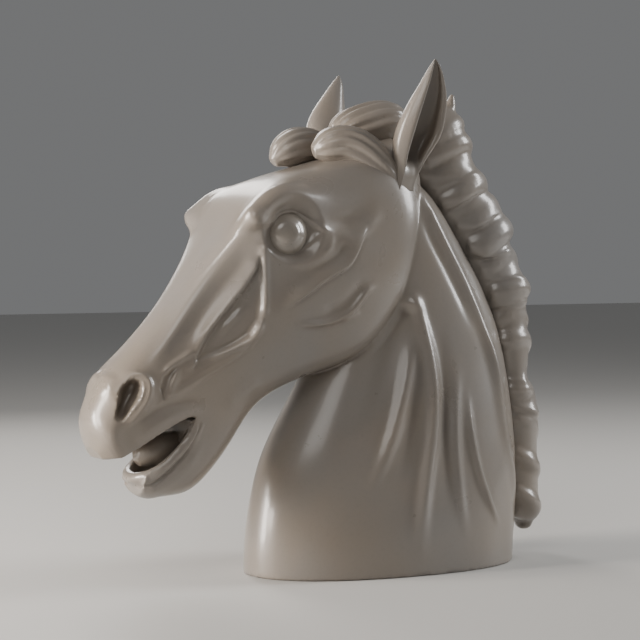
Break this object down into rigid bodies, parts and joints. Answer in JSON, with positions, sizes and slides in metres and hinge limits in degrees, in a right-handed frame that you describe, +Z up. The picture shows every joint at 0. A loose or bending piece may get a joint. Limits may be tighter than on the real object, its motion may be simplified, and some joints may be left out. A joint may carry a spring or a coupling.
{
  "type": "giant garden chess knight",
  "caption": "Glossy horse-head chess knight for lawn play: hollow neck and head with open mouth, upright ears and wavy mane, flat screwed base with a threaded filler bung.",
  "frame": {"origin": "on the ground, in the middle of the flat foot", "axes": "+Z up; the horse looks along -Y and its left side is +X"},
  "size_m": [0.1962, 0.5923, 0.583],
  "materials": {
    "moulding": "gloss",
    "eye": "gloss",
    "tongue": "satin",
    "foot": "matte",
    "rubber": "matte",
    "brass": "satin",
    "steel": "satin",
    "sand": "matte"
  },
  "bodies": {
    "knight": {"neck_shell": "moulding", "head_shell": "moulding", "lower_jaw": "moulding", "tongue": "tongue", "eye_left": "eye", "eye_right": "eye", "ear_left": "moulding", "ear_right": "moulding", "forelock_left": "moulding", "forelock_right": "moulding", "forelock_crown": "moulding", "mane_lock_1": "moulding", "mane_lock_2": "moulding", "mane_lock_3": "moulding", "mane_lock_4": "moulding", "mane_lock_5": "moulding", "mane_lock_6": "moulding", "mane_lock_7": "moulding", "mane_lock_8": "moulding", "base_plate": "foot", "base_seal": "rubber", "foot_ring": "foot", "insert_1": "brass", "insert_2": "brass", "insert_3": "brass", "insert_4": "brass", "insert_5": "brass", "insert_6": "brass", "base_screw_1": "steel", "base_screw_2": "steel", "base_screw_3": "steel", "base_screw_4": "steel", "base_screw_5": "steel", "base_screw_6": "steel", "sand_ballast": "sand"},
    "bung_travel": {"bung_seal": "rubber"},
    "bung": {"filler_bung": "foot"}
  },
  "joints": [
    {"name": "bung_lift", "type": "slide", "parent": "knight", "child": "bung_travel", "axis": [0, 0, -1], "range_m": [0, 0.012]},
    {"name": "bung_turn", "type": "hinge", "parent": "bung_travel", "child": "bung", "pos_m": [0, 0.062, 0], "axis": [0, 0, -1], "range_deg": [0, 1080]}
  ],
  "couplings": [
    {"joint": "bung_lift", "follows": "bung_turn", "m_per_rad": 0.0006366}
  ]
}
